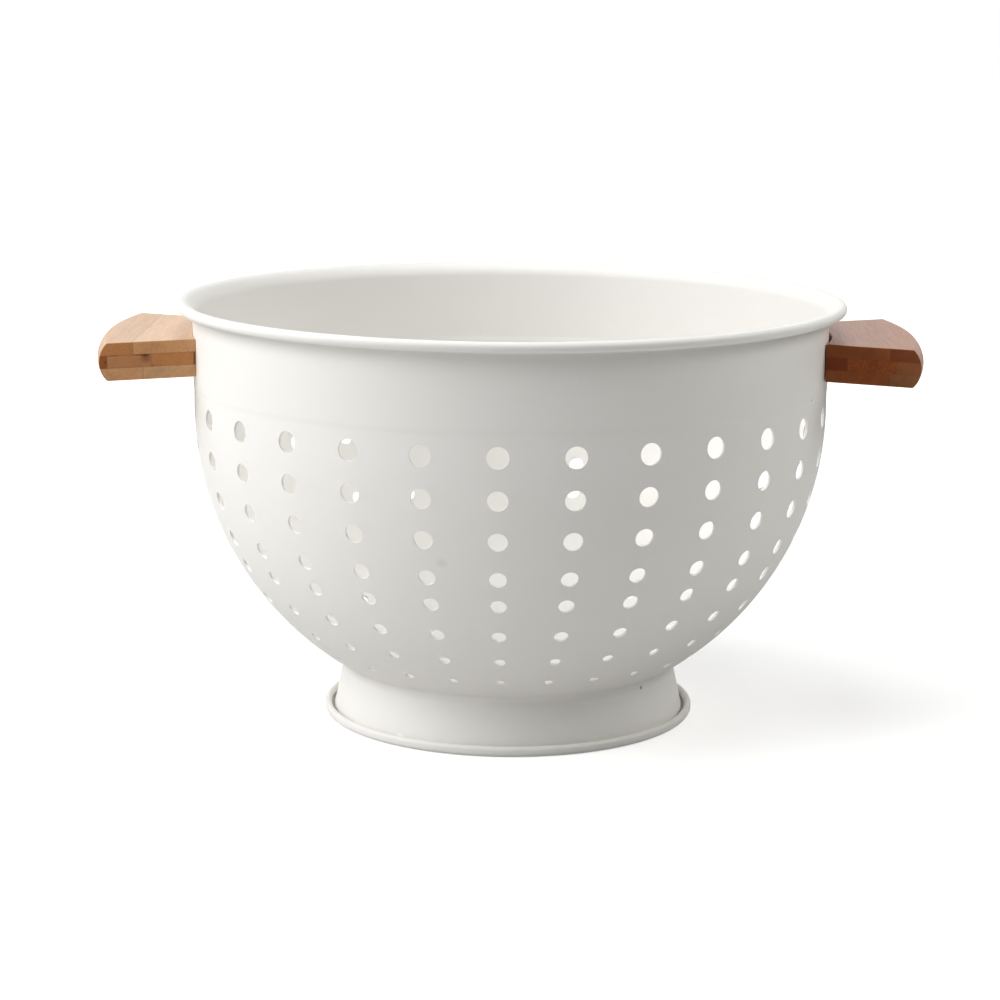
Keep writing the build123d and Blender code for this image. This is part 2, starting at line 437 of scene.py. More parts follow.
def perforated_wall(form):
    """One column of cells, copied round the axis."""
    column = join("perforated_wall", [hole_cell(form, row) for row in form.rows()])
    columns = form.sizes.holes_per_row
    open_edit(column)
    bpy.ops.mesh.spin(
        steps=columns - 1,
        dupli=True,
        angle=2 * math.pi * (columns - 1) / columns,
        center=(0, 0, 0),
        axis=(0, 0, 1),
    )
    close_edit()
    return column


def upper_wall(form, steps):
    """Straight wall, flare and rolled rim above the holes."""
    sizes = form.sizes
    flare = (sizes.rim_diameter - sizes.rim_roll - sizes.wall) / 2
    crease_top = form.crease_foot + form.crease_rise
    return lathe(
        "upper_wall",
        sheet_line(
            form.point(form.rows()[0][1]),
            math.pi / 2,
            [
                run(sizes.crease_bend, -sizes.crease_turn, 4),
                run(sizes.crease_bend, sizes.crease_turn, 4),
                run(rim_height - crease_top - flare - sizes.sheet),
                run(flare + form.half, -math.pi / 2, 10),
                run(sizes.rim_roll / 2 - form.half, -sizes.rim_curl, 16),
            ],
        ),
        steps,
    )


def lower_bowl(form, steps):
    """Blank lower part of the bowl and its flat base."""
    sizes = form.sizes
    seam_along = form.rows()[-1][2]
    seam_angle = seam_along / sizes.round_radius
    outline = sheet_line(
        form.point(seam_along),
        1.5 * math.pi - seam_angle,
        [
            run(form.round_middle, seam_angle - form.base_angle, 7),
            run(sizes.base_bend - form.half, form.base_angle - math.pi / 2, 5),
        ],
    )
    piece = lathe("lower_bowl", outline, steps)
    fill_rings(piece, [outline[-1].y])
    return piece


# Lengths of the drills through the base and the wall, in thicknesses of the sheet
BASE_REACH, WALL_REACH = 4, 8


def drill(radius, reach, matrix, vertices=24):
    clear_selection()
    bpy.ops.mesh.primitive_cylinder_add(vertices=vertices, radius=radius, depth=reach)
    piece = named("drill")
    place(piece, matrix)
    return piece


def base_drills(form):
    sizes = form.sizes
    drills = []
    for ring in range(1, sizes.base_rings + 1):
        count = ring * sizes.base_holes
        for number in range(count):
            turn = Matrix.Rotation(2 * math.pi * number / count, 4, "Z")
            spot = Matrix.Translation((0, -ring * sizes.base_pitch, bowl_low.z))
            drills.append(drill(sizes.base_hole / 2, sizes.sheet * BASE_REACH, turn @ spot))
    return drills


def screw_line(hardware, hand, side):
    """Matrix whose Z axis runs from the colander's axis out along a screw."""
    around = side * hardware.spread + (math.pi if hand < 0 else 0)
    lift = Matrix.Translation((0, 0, rim_height - hardware.drop))
    return lift @ Matrix.Rotation(around, 4, "Z") @ Matrix.Rotation(math.pi / 2, 4, "Y")


def screw_drills(form, hardware):
    half_wall = form.sizes.wall / 2
    return [
        drill(
            hardware.washer_bore / 2,
            form.sizes.sheet * WALL_REACH,
            screw_line(hardware, hand, side) @ Matrix.Translation((0, 0, half_wall)),
        )
        for hand in (-1, 1)
        for side in (-1, 1)
    ]


def cut(piece, cutters):
    cutter = join("cutter", cutters)
    apply_modifier(piece, "BOOLEAN", operation="DIFFERENCE", solver="EXACT", object=cutter)
    bpy.data.objects.remove(cutter)


class OBJECT_OT_colander_bowl(bpy.types.Operator):
    """Add the perforated bowl with its rolled rim"""

    bl_idname = "object.colander_bowl"
    bl_label = "Bowl"

    def execute(self, context):
        sizes = context.scene.colander_bowl
        form = BowlForm(sizes)
        steps = sizes.holes_per_row * CELL_SIDE
        shell = [perforated_wall(form), upper_wall(form, steps), lower_bowl(form, steps)]
        bowl = join("perforated_bowl", shell)
        merge_and_face_out(bowl)
        thicken(bowl, sizes.sheet)
        cut(bowl, base_drills(form))
        place(bowl, Matrix.Rotation(sizes.hole_turn, 4, "Z"))
        cut(bowl, screw_drills(form, context.scene.colander_hardware))
        ease_edges(bowl, sizes.edge_round)
        smooth(bowl)
        cover(bowl, powder_coat(sizes.coat))
        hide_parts("bowl")
        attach(bowl, BODY)
        return {"FINISHED"}


# Foot ring

FOOT_STEPS = 192
HEEL_CUTS = 8
FILLET_CUTS = 8
FILLET_PROUD = 0.00003  # The fillet's edge over the bowl's coating
FILLET_SUNK = 0.00001  # The fillet's back inside the cone's face


def meet(first, first_heading, second, second_heading):
    """Point where two lines cross, each given by a point and a heading."""
    ahead = Vector((math.cos(first_heading), math.sin(first_heading)))
    across = Vector((-math.sin(second_heading), math.cos(second_heading)))
    return first + ahead * ((second - first).dot(across) / ahead.dot(across))


def foot_outline(foot, bowl):
    """Middle line of the foot ring, from the tucked edge of its lip up to its flange."""
    form = BowlForm(bowl)
    half = bowl.sheet / 2
    fold = foot.lip_gap / 2 + half
    outer_leg = foot.diameter / 2 - half
    inner_leg = outer_leg - 2 * fold
    fold_z = foot.lip_height - half - fold
    cone_heading = math.pi / 2 + foot.lean
    cone_reach = inner_leg - half - foot.slot - half / math.cos(foot.lean)
    cone_spot = Vector((cone_reach, foot.lip_height))
    toe = meet(cone_spot, cone_heading, Vector((0, half)), 0)
    seat_angle = math.acos((foot.seat / 2 - form.centre_x) / bowl.round_radius)
    seat_reach = bowl.round_radius + foot.weld_gap + half
    seat = Vector((form.centre_x, form.centre_z)) + seat_reach * Vector(
        (math.cos(seat_angle), -math.sin(seat_angle))
    )
    flange_heading = 1.5 * math.pi - seat_angle
    heel = meet(cone_spot, cone_heading, seat, flange_heading)
    cone_turn = math.pi / 2 - foot.lean
    heel_turn = flange_heading - cone_heading
    toe_back = foot.bend * math.tan(cone_turn / 2)
    heel_back = foot.bend * math.tan(heel_turn / 2)
    return sheet_line(
        (inner_leg, fold_z - foot.lip_tuck),
        math.pi / 2,
        [
            run(foot.lip_tuck),
            run(fold, -math.pi, 12),
            run(fold_z - half - foot.bend),
            run(foot.bend, -math.pi / 2, 7),
            run(outer_leg - foot.bend - toe.x - toe_back),
            run(foot.bend, -cone_turn, 7),
            run((heel - toe).length - toe_back - heel_back),
            run(foot.bend, heel_turn, HEEL_CUTS),
            run(foot.flange - heel_back),
        ],
    )


def fillet_outline(foot, bowl):
    """Closed outline of the coating that fills the corner between the foot's cone and the bowl."""
    form = BowlForm(bowl)
    outline = foot_outline(foot, bowl)
    cone_foot, *heel = outline[-HEEL_CUTS - 3 : -1]
    half = bowl.sheet / 2
    axis = Vector((form.centre_x, form.centre_z))
    bowl_reach = bowl.round_radius + FILLET_PROUD
    ahead = (heel[0] - cone_foot).normalized()
    outward = Vector((ahead.y, -ahead.x)) * (half - FILLET_SUNK)
    start = cone_foot + outward + outward.normalized() * foot.fillet
    away = start - axis
    lean_in = away.dot(ahead)
    reach = lean_in**2 - away.length_squared + (bowl_reach + foot.fillet) ** 2
    centre = start + ahead * (-lean_in - math.sqrt(reach))
    spoke = -outward.normalized() * foot.fillet
    top = axis + (centre - axis).normalized() * bowl_reach - centre
    turn = math.atan2(spoke.x * top.y - spoke.y * top.x, spoke.dot(top))
    arc = [
        centre + Matrix.Rotation(turn * cut / FILLET_CUTS, 2) @ spoke
        for cut in range(FILLET_CUTS + 1)
    ]
    seat = axis + (heel[-1] - axis).normalized() * bowl_reach
    return [*arc, seat, *reversed(heel), arc[0] - outward, arc[0]]


class OBJECT_OT_colander_foot(bpy.types.Operator):
    """Add the foot ring with its folded lip"""

    bl_idname = "object.colander_foot"
    bl_label = "Foot ring"

    def execute(self, context):
        scene = context.scene
        bowl = scene.colander_bowl
        ring = lathe("foot_ring_sheet", foot_outline(scene.colander_foot, bowl), FOOT_STEPS)
        merge_and_face_out(ring)
        thicken(ring, bowl.sheet)
        ease_edges(ring, bowl.edge_round)
        merge_and_face_out(ring)
        fillet = lathe("coat_fillet", fillet_outline(scene.colander_foot, bowl), FOOT_STEPS)
        merge_and_face_out(fillet)
        ring = join("foot_ring_sheet", [ring, fillet])
        smooth(ring)
        cover(ring, powder_coat(bowl.coat))
        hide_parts("foot_ring")
        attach(ring, BODY)
        return {"FINISHED"}


# Handles

BLOCK_CUTS = 15
PLIES = ("top", "middle", "bottom")
# Glue lines of each ply, from the top ply down, as shares of the handle's depth off the wall
GLUE_LINES = {
    "right": ((0.591,), (0.127, 0.656), (0.59,)),
    "left": ((0.562,), (0.368, 0.842), (0.456,)),
}


def arc_centre(spread, far, near):
    """Centre along X and radius of an arc that is far in the middle and near at its ends."""
    rise = far - near
    radius = (spread**2 + rise**2) / (2 * rise)
    return far - radius, radius


def shape_block(block, handles, wall_radius, root_gap, middle_gap):
    """Moves the points of a subdivided cube onto the handle's form."""
    half = handles.thickness / 2
    root_x = math.sqrt(wall_radius**2 - handles.root_spread**2) + root_gap
    root_centre, root_radius = arc_centre(handles.root_spread, wall_radius + middle_gap, root_x)
    reach = wall_radius + handles.depth
    corner_reach = reach - handles.corner_setback
    plan_centre, plan_radius = arc_centre(handles.corner_spread, reach, corner_reach)
    barrel_radius = (half**2 + handles.bulge**2) / (2 * handles.bulge)
    barrel_angle = math.asin(half / barrel_radius)
    barrel_back = plan_radius - barrel_radius * math.cos(barrel_angle)
    corner = Vector((corner_reach, handles.corner_spread))
    flare = (corner - Vector((root_x, handles.root_spread))).normalized()
    from_centre = corner - Vector((plan_centre, 0))
    dot = from_centre.dot(flare)
    middle_z = rim_height - handles.drop - half
    for vertex in block.data.vertices:
        out = (vertex.co.x + 1) / 2
        along, up = vertex.co.y, vertex.co.z
        z = barrel_radius * math.sin(up * barrel_angle)
        radius = barrel_back + barrel_radius * math.cos(up * barrel_angle)
        # Where the flared end face meets the barrel at this height
        run_out = -dot + math.sqrt(dot**2 - from_centre.length_squared + radius**2)
        end = from_centre + flare * run_out
        turn = along * math.atan2(end.y, end.x)
        outer = Vector((plan_centre + radius * math.cos(turn), radius * math.sin(turn)))
        root_y = along * handles.root_spread
        root = Vector((root_centre + math.sqrt(root_radius**2 - root_y**2), root_y))
        spot = root.lerp(outer, out)
        vertex.co = (spot.x, spot.y, middle_z + z)


def handle_block(handles, wall_radius, root_gap, middle_gap):
    clear_selection()
    bpy.ops.mesh.primitive_cube_add(size=2)
    block = named("handle_block")
    open_edit(block)
    bpy.ops.mesh.subdivide(number_cuts=BLOCK_CUTS)
    close_edit()
    shape_block(block, handles, wall_radius, root_gap, middle_gap)
    ease_edges(block, handles.edge_round, segments=3, degrees=30)
    merge_and_face_out(block)
    return block


def cut_strip(block, name, planes):
    """A copy of the block cut by planes, each a point and the direction that is cut away."""
    strip = copy_of(block, name)
    open_edit(strip)
    for point, away in planes:
        bpy.ops.mesh.select_all(action="SELECT")
        bpy.ops.mesh.bisect(
            plane_co=point, plane_no=away, use_fill=True, clear_outer=True, threshold=MERGE
        )
    close_edit()
    return strip


def strip_planes(handles, wall_radius, ply, shares, number):
    """Cutting planes of one strip: the glue faces above, below, inside and outside it."""
    thickness = handles.thickness / len(PLIES)
    top = rim_height - handles.drop - ply * thickness
    lines = [wall_radius + share * handles.depth for share in shares]
    planes = []
    if ply > 0:
        planes.append(((0, 0, top), (0, 0, 1)))
    if ply < len(PLIES) - 1:
        planes.append(((0, 0, top - thickness), (0, 0, -1)))
    if number > 0:
        planes.append(((lines[number - 1], 0, 0), (-1, 0, 0)))
    if number < len(lines):
        planes.append(((lines[number], 0, 0), (1, 0, 0)))
    return planes


def joint_box(planes, left):
    """Middle and half size of the box between a strip's glued faces, far out where it has none."""
    low, high = Vector((-1, -1, -1)), Vector((1, 1, 1))
    for point, away in planes:
        axis = 0 if away[0] else 2
        (high if away[axis] > 0 else low)[axis] = point[axis]
    middle = (low + high) / 2
    if left:
        middle.x = -middle.x
    return middle, (high - low) / 2


def pilot_drills(hardware, bowl):
    """Drills for the screw holes of one handle, made as the right one."""
    end = seats(hardware, bowl)[1] + hardware.screw
    start = bowl.wall / 2 - bowl.sheet
    middle = Matrix.Translation((0, 0, (start + end) / 2))
    return [
        drill(hardware.pilot / 2, end - start, screw_line(hardware, 1, side) @ middle)
        for side in (-1, 1)
    ]


class OBJECT_OT_colander_handles(bpy.types.Operator):
    """Add the bamboo strips of both handles"""

    bl_idname = "object.colander_handles"
    bl_label = "Handles"

    def execute(self, context):
        handles = context.scene.colander_handles
        wall_radius = context.scene.colander_bowl.wall / 2
        gaps = {
            "right": (handles.root_gap, handles.middle_gap),
            "left": (handles.left_root_gap, handles.left_middle_gap),
        }
        for hand, plies in GLUE_LINES.items():
            block = handle_block(handles, wall_radius, *gaps[hand])
            cut(block, pilot_drills(context.scene.colander_hardware, context.scene.colander_bowl))
            for ply, shares in enumerate(plies):
                for number in range(len(shares) + 1):
                    node = f"{hand}_handle_{PLIES[ply]}_strip_{number + 1}"
                    planes = strip_planes(handles, wall_radius, ply, shares, number)
                    self.finish(cut_strip(block, f"bamboo_{node}", planes), node, planes, handles)
            bpy.data.objects.remove(block)
        return {"FINISHED"}

    def finish(self, strip, node, planes, handles):
        left = node.startswith("left")
        if left:
            place(strip, Matrix.Rotation(math.pi, 4, "Z"))
        smooth(strip, 30)
        cover(strip, bamboo(node, joint_box(planes, left), handles.glue_line))
        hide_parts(node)
        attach(strip, BODY)


# Screws and washers

THREAD_ROOT = 0.9  # The thread starts at this share of the core's radius
THREAD_HEIGHTS = (0.6, 1.2, 0.9)  # Heights of its profile's three corners, in pitches
POINT_TAPER = 0.85  # Share by which the thread narrows to the screw's tip
CROWN_SHARES = (0.08, 0.25, 0.5, 0.75, 1)  # Rings of the head's crown, from its middle
# Cross recess as shares of the head, and what is left of its blades at their bottom
RECESS_LENGTH, RECESS_WIDTH, RECESS_DEPTH = 0.52, 0.11, 0.62
BLADE_LENGTH_LEFT, BLADE_WIDTH_LEFT = 0.45, 0.6
SCREW_STEPS, WASHER_STEPS, THREAD_STEPS = 32, 48, 16
SCREW_EASE, WASHER_EASE = 0.0002, 0.0001


def seats(hardware, bowl):
    """Distances from the colander's axis at which a washer and a screw's head sit."""
    inner = bowl.wall / 2 - bowl.sheet
    washer_face = math.sqrt(inner**2 - (hardware.washer / 2) ** 2) - hardware.seat_gap
    washer_at = washer_face - hardware.washer_thickness
    return washer_at, washer_at - hardware.seat_gap


def thread_ridge(hardware):
    """The ridge of the thread, wound up the shank from a three-sided profile."""
    clear_selection()
    bpy.ops.mesh.primitive_circle_add(vertices=3, radius=hardware.thread / 2)
    ridge = named("thread")
    pitch, root = hardware.thread_pitch, hardware.core / 2 * THREAD_ROOT
    reaches = (root, root, hardware.thread / 2)
    for vertex, reach, height in zip(ridge.data.vertices, reaches, THREAD_HEIGHTS):
        vertex.co = (reach, 0, pitch * height)
    apply_modifier(
        ridge,
        "SCREW",
        axis="Z",
        screw_offset=pitch,
        iterations=int(hardware.screw / pitch) - 2,
        steps=THREAD_STEPS,
        render_steps=THREAD_STEPS,
    )
    shank_end = hardware.screw - hardware.point
    for vertex in ridge.data.vertices:
        left = 1 - POINT_TAPER * max(vertex.co.z - shank_end, 0) / hardware.point
        vertex.co.x *= left
        vertex.co.y *= left
    open_edit(ridge)
    bpy.ops.mesh.fill_holes(sides=0)
    close_edit()
    merge_and_face_out(ridge)
    return ridge


def make_screw(hardware):
    head, core, side = hardware.head / 2, hardware.core / 2, hardware.head_side
    crown_rise = hardware.head_height - side
    crown_radius = (head**2 + crown_rise**2) / (2 * crown_rise)
    crown_turn = math.asin(head / crown_radius)
    crown = [
        (
            crown_radius * math.sin(crown_turn * share),
            crown_radius * (1 - math.cos(crown_turn * share)) - hardware.head_height,
        )
        for share in CROWN_SHARES
    ]
    shank_end = hardware.screw - hardware.point
    tip = core / 10
    shank = [(head, 0), (core, 0), (core, shank_end), (tip, hardware.screw)]
    outline = [Vector(spot) for spot in (*crown, *shank)]
    screw = lathe("pan_head_screw", outline, SCREW_STEPS)
    fill_rings(screw, (outline[0].y, outline[-1].y))
    merge_and_face_out(screw)
    return screw


def cross_recess(hardware):
    """Two tapered blades that cut the recess of a cross-head screw."""
    blades = []
    length, width = hardware.head * RECESS_LENGTH, hardware.head * RECESS_WIDTH
    depth = hardware.head_height * RECESS_DEPTH
    head_top = Matrix.Translation((0, 0, -hardware.head_height))
    for turn in (0, math.pi / 2):
        clear_selection()
        bpy.ops.mesh.primitive_cube_add(size=1, scale=(length, width, 2 * depth))
        blade = named("blade")
        for vertex in blade.data.vertices:
            if vertex.co.z > 0:
                vertex.co.x *= BLADE_LENGTH_LEFT
                vertex.co.y *= BLADE_WIDTH_LEFT
        place(blade, head_top @ Matrix.Rotation(turn, 4, "Z"))
        blades.append(blade)
    return blades


def make_washer(hardware):
    bore, edge, thickness = hardware.washer_bore / 2, hardware.washer / 2, hardware.washer_thickness
    corners = [(bore, 0), (edge, 0), (edge, thickness), (bore, thickness), (bore, 0)]
    washer = lathe("flat_washer", [Vector(corner) for corner in corners], WASHER_STEPS)
    merge_and_face_out(washer)
    return washer


class OBJECT_OT_colander_hardware(bpy.types.Operator):
    """Add the screws and washers that hold the handles"""

    bl_idname = "object.colander_hardware"
    bl_label = "Screws and washers"

    def execute(self, context):
        hardware = context.scene.colander_hardware
        bowl = context.scene.colander_bowl
        washer_at, head_at = seats(hardware, bowl)
        screw = make_screw(hardware)
        for blade in cross_recess(hardware):
            cut(screw, [blade])
        washer = make_washer(hardware)
        zinc = zinc_plate(hardware.plate)
        for piece, width in ((screw, SCREW_EASE), (washer, WASHER_EASE)):
            ease_edges(piece, width)
            smooth(piece)
        screw = join("pan_head_screw", [screw, thread_ridge(hardware)])
        for piece in (screw, washer):
            cover(piece, zinc)
        for hand, hand_name in ((1, "right"), (-1, "left")):
            for side, side_name in ((-1, "front"), (1, "back")):
                line = screw_line(hardware, hand, side * hand)
                for piece, at, kind in ((screw, head_at, "screw"), (washer, washer_at, "washer")):
                    copy = copy_of(piece, f"zinc_{hand_name}_{side_name}_{kind}")
                    place(copy, line @ Matrix.Translation((0, 0, at)))
                    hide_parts(f"{hand_name}_{side_name}_{kind}")
                    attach(copy, BODY)
        bpy.data.objects.remove(screw)
        bpy.data.objects.remove(washer)
        return {"FINISHED"}


# Materials

FLOAT, COLOUR, VECTOR = "NodeSocketFloat", "NodeSocketColor", "NodeSocketVector"
# Sockets of a Mix node for its share, its two colours and the mixed colour
MIX_INPUTS, MIX_OUTPUT = (0, 6, 7), 2
COLUMN_WIDTH = 180


class Sheet:
    """A node tree with short calls to add and link its nodes."""

    def __init__(self, tree):
        self.tree = tree
        self.column = 0

    def add(self, kind, **inputs):
        node = self.tree.nodes.new(kind)
        self.column += 1
        node.location = (self.column * COLUMN_WIDTH, 0)
        for key, value in inputs.items():
            self.feed(node.inputs[key], value)
        return node

    def feed(self, socket, value):
        if isinstance(value, bpy.types.NodeSocket):
            self.tree.links.new(value, socket)
        else:
            socket.default_value = value

    def feed_all(self, sockets, values):
        for socket, value in zip(sockets, values):
            self.feed(socket, value)

    def math(self, operation, *values):
        node = self.add("ShaderNodeMath")
        node.operation = operation
        self.feed_all(node.inputs, values)
        return node.outputs[0]

    def vector(self, operation, *values):
        node = self.add("ShaderNodeVectorMath")
        node.operation = operation
        self.feed_all(node.inputs, values)
        return node.outputs["Value" if operation == "LENGTH" else "Vector"]

    def mix(self, share, first, second):
        node = self.add("ShaderNodeMix")
        node.data_type = "RGBA"
        self.feed_all([node.inputs[at] for at in MIX_INPUTS], (share, first, second))
        return node.outputs[MIX_OUTPUT]

    def span(self, value, low, high, to_low=0.0, to_high=1.0):
        node = self.add("ShaderNodeMapRange")
        self.feed_all(node.inputs, (value, low, high, to_low, to_high))
        return node.outputs[0]

    def noise(self, vector, scale, detail=2.0, roughness=0.5):
        inputs = {"Vector": vector, "Scale": scale, "Detail": detail, "Roughness": roughness}
        return self.add("ShaderNodeTexNoise", **inputs).outputs[0]

    def stretched(self, vector, scale):
        return self.add("ShaderNodeMapping", Vector=vector, Scale=scale).outputs[0]

    def bump(self, height, strength, distance):
        inputs = {"Strength": strength, "Distance": distance, "Height": height}
        return self.add("ShaderNodeBump", **inputs).outputs[0]

    def use(self, name, **inputs):
        """Places a node group, with a socket's name written with _ for each space."""
        node = self.add("ShaderNodeGroup")
        node.node_tree = group(name)
        for key, value in inputs.items():
            self.feed(node.inputs[key.replace("_", " ")], value)
        return node.outputs


def draw_mottle(sheet, given):
    """Soft blotches and fine grain, as in any hand-finished surface."""
    blotch = sheet.math("DIVIDE", 1.0, given["Blotch size"])
    grain = sheet.math("DIVIDE", 1.0, given["Grain size"])
    return {
        "Blotch": sheet.noise(given["Place"], blotch, 3.0),
        "Grain": sheet.noise(given["Place"], grain, 2.0, 0.6),
    }


def draw_mark(sheet, given):
    """A soft-edged spot about a place."""
    off = sheet.vector("SUBTRACT", given["Place"], given["Middle"])
    away = sheet.vector("LENGTH", sheet.vector("DIVIDE", off, given["Reach"]))
    spread = sheet.span(away, given["Core"], 1.0, 1.0, 0.0)
    return {"Mask": sheet.math("MULTIPLY", spread, given["Strength"])}


FIBRE_SCALE = (1900, 55, 1900)
BAND_SCALE = (260, 14, 260)
VESSEL_SCALE = (1500, 26, 1500)


def draw_bamboo(sheet, given):
    """Bamboo with its fibres along Y: streaks along the grain, and vessel dots where it is cut."""
    spot = given["Place"]
    fibre = sheet.noise(sheet.stretched(spot, FIBRE_SCALE), 1.0, 3.0, 0.6)
    band = sheet.noise(sheet.stretched(spot, BAND_SCALE), 1.0)
    vessels = sheet.stretched(spot, VESSEL_SCALE)
    cells = sheet.add("ShaderNodeTexVoronoi", Vector=vessels, Scale=1.0)
    dots = sheet.span(cells.outputs["Distance"], 0.2, 0.42, 1.0, 0.0)
    face_streak = sheet.math(
        "ADD",
        sheet.math("MULTIPLY", sheet.span(fibre, 0.42, 0.68), 0.75),
        sheet.math("MULTIPLY", sheet.span(band, 0.4, 0.7), 0.35),
    )
    end_dots = sheet.math(
        "ADD",
        sheet.math("MULTIPLY", dots, given["Dots"]),
        sheet.math("MULTIPLY", sheet.span(band, 0.45, 0.7), 0.3),
    )
    face = sheet.mix(face_streak, given["Face colour"], given["Face streak"])
    end = sheet.mix(end_dots, given["End colour"], given["End dots"])
    return {
        "Colour": sheet.mix(given["Facing"], face, end),
        "Roughness": sheet.span(fibre, 0.3, 0.7, 0.42, 0.58),
        "Height": sheet.math("ADD", fibre, sheet.math("MULTIPLY", dots, -0.4)),
    }


def draw_glue_line(sheet, given):
    """A thin line along the glued faces of a strip."""
    away = sheet.vector("ABSOLUTE", sheet.vector("SUBTRACT", given["Place"], given["Middle"]))
    left = sheet.vector("SUBTRACT", given["Half"], away)
    inside = sheet.add("ShaderNodeSeparateXYZ", Vector=left).outputs
    near = sheet.math("MINIMUM", inside["X"], inside["Z"])
    return {"Mask": sheet.span(near, 0.0, given["Width"], 1.0, 0.0)}


# How each node group is drawn, and its sockets
GROUPS = {
    "Mottle": (
        draw_mottle,
        {"Place": VECTOR, "Blotch size": FLOAT, "Grain size": FLOAT},
        {"Blotch": FLOAT, "Grain": FLOAT},
    ),
    "Mark": (
        draw_mark,
        {"Place": VECTOR, "Middle": VECTOR, "Reach": VECTOR, "Core": FLOAT, "Strength": FLOAT},
        {"Mask": FLOAT},
    ),
    "Bamboo": (
        draw_bamboo,
        {
            "Place": VECTOR,
            "Facing": FLOAT,
            "Face colour": COLOUR,
            "Face streak": COLOUR,
            "End colour": COLOUR,
            "End dots": COLOUR,
            "Dots": FLOAT,
        },
        {"Colour": COLOUR, "Roughness": FLOAT, "Height": FLOAT},
    ),
    "Glue line": (
        draw_glue_line,
        {"Place": VECTOR, "Middle": VECTOR, "Half": VECTOR, "Width": FLOAT},
        {"Mask": FLOAT},
    ),
}


def group(name):
    """The node group of a name, drawn when it is first asked for."""
    if name in bpy.data.node_groups:
        return bpy.data.node_groups[name]
    draw, inputs, outputs = GROUPS[name]
    tree = bpy.data.node_groups.new(name, "ShaderNodeTree")
    for in_out, sockets in (("INPUT", inputs), ("OUTPUT", outputs)):
        for label, kind in sockets.items():
            tree.interface.new_socket(name=label, in_out=in_out, socket_type=kind)
    given = tree.nodes.new("NodeGroupInput").outputs
    result = tree.nodes.new("NodeGroupOutput").inputs
    sheet = Sheet(tree)
    for label, value in draw(sheet, given).items():
        sheet.feed(result[label], value)
    return tree


def new_material(name):
    material = bpy.data.materials.new(name)
    material.use_nodes = True
    sheet = Sheet(material.node_tree)
    shader = material.node_tree.nodes["Principled BSDF"].inputs
    return material, sheet, shader, sheet.add("ShaderNodeTexCoord").outputs["Object"]


def tone(red, green, blue):
    """A colour written as screen values from 0 to 255."""
    return tuple(((c / 255 + 0.055) / 1.055) ** 2.4 for c in (red, green, blue)) + (1,)


def scaled(colour, factor):
    return (*[min(1, channel * factor) for channel in colour], 1)


def add_marks(sheet, spot, colour, marks):
    """Lays marks over a colour, each a middle, a reach, a core share, a strength and a tone."""
    for middle, reach, core, strength, mark_tone in marks:
        mask = sheet.use(
            "Mark", Place=spot, Middle=middle, Reach=reach, Core=core, Strength=strength
        )
        colour = sheet.mix(mask["Mask"], colour, tone(*mark_tone))
    return colour


# Small spots laid over the coat's colour: a thin grey patch, a dark tick, a speck and a smear on
# the lip
COAT_MARKS = (
    ((-0.0236, -0.1186, 0.0872), (0.0028, 0.0028, 0.0028), 0.2, 0.3, (205, 210, 204)),
    ((0.0535, -0.0425, 0.0198), (0.0006, 0.0030, 0.0012), 0.1, 0.9, (110, 70, 74)),
    ((0.1172, -0.0516, 0.1379), (0.0007, 0.0020, 0.0005), 0.2, 0.5, (140, 136, 136)),
    ((-0.0421, -0.0580, 0.0034), (0.0024, 0.0032, 0.0009), 0.3, 0.9, (255, 255, 253)),
)


def powder_coat(coat):
    """Warm white satin powder coat with a faint orange peel and a few small spots."""
    if "Powder coat" in bpy.data.materials:
        return bpy.data.materials["Powder coat"]
    material, sheet, shader, spot = new_material("Powder coat")
    mottle = sheet.use("Mottle", Place=spot, Blotch_size=0.06, Grain_size=0.0011)
    clean = sheet.mix(mottle["Blotch"], scaled(coat, 0.985), scaled(coat, 1.012))
    sheet.feed(shader["Base Color"], add_marks(sheet, spot, clean, COAT_MARKS))
    sheet.feed(shader["Roughness"], sheet.span(mottle["Blotch"], 0.2, 0.8, 0.46, 0.54))
    sheet.feed(shader["Normal"], sheet.bump(mottle["Grain"], 0.12, 0.00012))
    shader["Specular IOR Level"].default_value = 0.25
    return material


# Face colour, face streak, end colour, end dots and strength of the dots of each strip,
# named without handle and strip; the right handle's darker tones are partly its own bamboo, partly
# painted shade
STRIP_TONES_AND_SHADE = {
    "left_top_1": ((219, 184, 147), (208, 165, 125), (207, 154, 105), (175, 121, 75), 0.5),
    "left_top_2": ((205, 168, 133), (192, 150, 112), (189, 128, 78), (159, 102, 59), 0.5),
    "left_middle_1": ((236, 190, 146), (214, 166, 120), (189, 127, 75), (158, 103, 59), 0.4),
    "left_middle_2": ((232, 188, 146), (214, 166, 120), (189, 130, 85), (157, 106, 67), 0.4),
    "left_middle_3": ((235, 188, 141), (213, 164, 118), (152, 88, 42), (119, 65, 30), 0.6),
    "left_bottom_1": ((236, 194, 150), (217, 170, 124), (205, 158, 115), (176, 127, 86), 0.5),
    "left_bottom_2": ((234, 190, 146), (214, 166, 120), (209, 156, 109), (179, 126, 84), 0.5),
    # Right handle: darker bamboo, with painted shade where the bowl shades this handle
    "right_top_1": ((154, 99, 67), (137, 85, 55), (135, 70, 23), (113, 55, 16), 0.4),
    "right_top_2": ((150, 96, 60), (134, 82, 48), (111, 52, 9), (92, 40, 6), 0.4),
    "right_middle_1": ((157, 107, 70), (142, 93, 58), (120, 49, 3), (98, 37, 3), 0.4),
    "right_middle_2": ((164, 113, 70), (150, 99, 58), (130, 60, 10), (174, 91, 20), 0.8),
    "right_middle_3": ((154, 99, 62), (138, 86, 52), (133, 77, 36), (109, 58, 26), 0.5),
    "right_bottom_1": ((164, 116, 78), (150, 100, 64), (142, 74, 26), (117, 56, 17), 0.6),
    "right_bottom_2": ((159, 114, 79), (145, 99, 65), (137, 86, 46), (116, 69, 36), 0.5),
}


GLUE_TONE, GLUE_STRENGTH = (84, 46, 26), 0.45
WIDE = 0.5  # Reach of a mark that runs right across its strip
